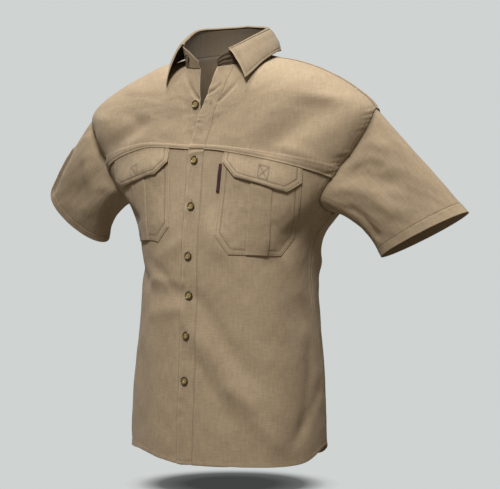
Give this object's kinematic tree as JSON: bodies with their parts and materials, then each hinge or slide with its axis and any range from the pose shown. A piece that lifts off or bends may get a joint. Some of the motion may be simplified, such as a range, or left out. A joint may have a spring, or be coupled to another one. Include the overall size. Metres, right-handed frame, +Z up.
{
  "type": "safari shirt",
  "caption": "Short-sleeved button-front shirt with a turned-down collar, front yoke and flapped chest pockets, filled out as worn with no wearer.",
  "frame": {"origin": "middle of the neck opening, level with the tops of the shoulders, where the wearer's shoulders hold the shirt up", "axes": "+X to the wearer's left, -Y to the front, +Z up"},
  "size_m": [0.9188, 0.2665, 0.7797],
  "materials": {
    "khaki_twill": "matt cotton twill",
    "horn_button": "mottled, polished",
    "woven_tab": "woven, matt"
  },
  "bodies": {
    "root": {"front_left": "khaki_twill", "front_right": "khaki_twill", "front_yoke_left": "khaki_twill", "front_yoke_right": "khaki_twill", "placket": "khaki_twill", "back": "khaki_twill", "back_yoke": "khaki_twill", "sleeve_left": "khaki_twill", "sleeve_right": "khaki_twill", "collar_stand": "khaki_twill", "collar_leaf": "khaki_twill", "pocket_left": "khaki_twill", "pocket_right": "khaki_twill", "pocket_pleat_left": "khaki_twill", "pocket_pleat_right": "khaki_twill", "flap_left": "khaki_twill", "flap_right": "khaki_twill", "button_1": "horn_button", "button_2": "horn_button", "button_3": "horn_button", "button_4": "horn_button", "button_5": "horn_button", "button_6": "horn_button", "button_7": "horn_button", "button_collar": "horn_button", "side_tab": "woven_tab"}
  },
  "joints": []
}
